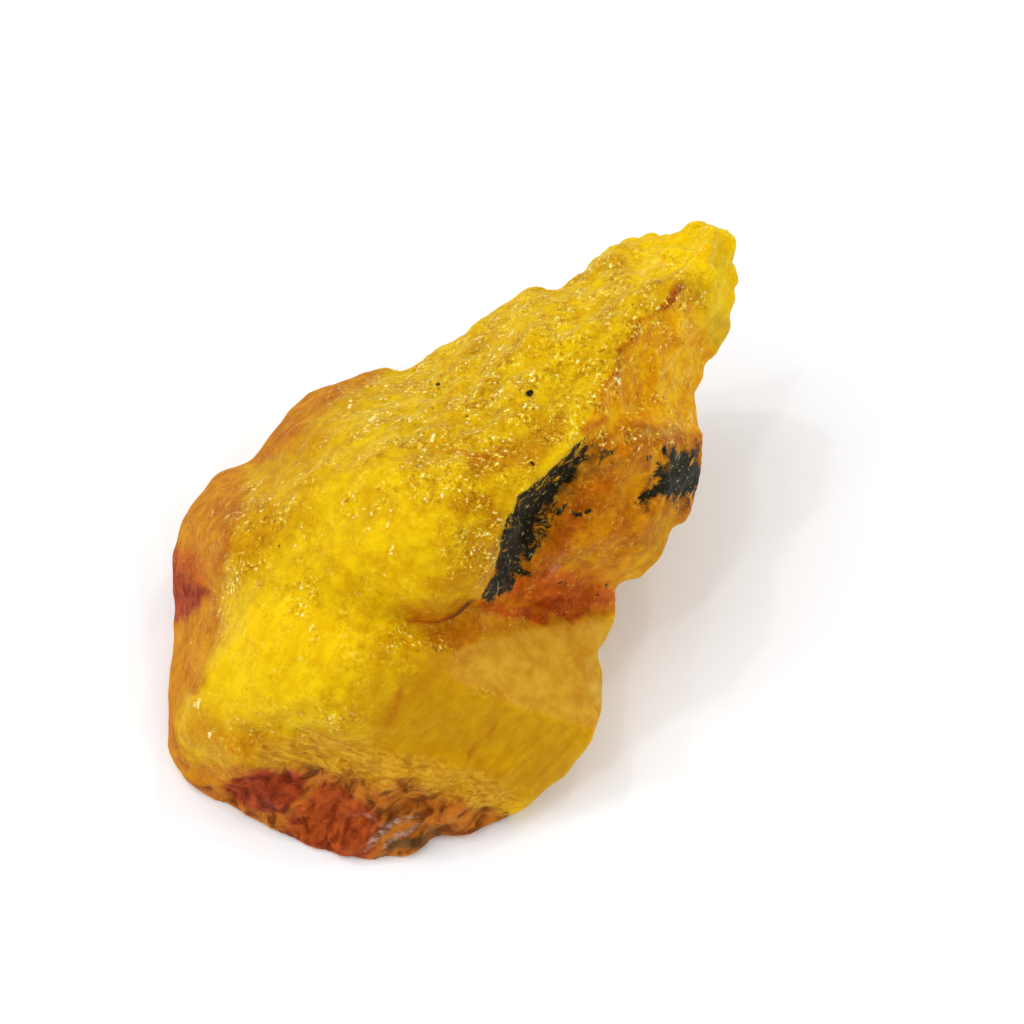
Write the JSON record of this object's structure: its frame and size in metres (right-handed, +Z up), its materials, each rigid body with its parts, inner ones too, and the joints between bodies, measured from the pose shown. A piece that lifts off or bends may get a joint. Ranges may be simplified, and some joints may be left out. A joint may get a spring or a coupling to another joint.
{
  "type": "rough gemstone",
  "caption": "Irregular rough lump of translucent yellow corundum: a blunt lobed body with striated prism facets, a long arm tapering to a tip, and a flat parting face under the body.",
  "frame": {"origin": "in the plane of the flat parting face the stone rests on, below the middle of its bounding box", "axes": "+Z up out of the parting face, +X along the stone's length from its blunt lobed end towards its raised tip"},
  "size_m": [0.0464, 0.0304, 0.0213],
  "materials": {
    "corundum": "translucent, waxy to sugary lustre"
  },
  "bodies": {
    "root": {"sapphire": "corundum"}
  },
  "joints": []
}
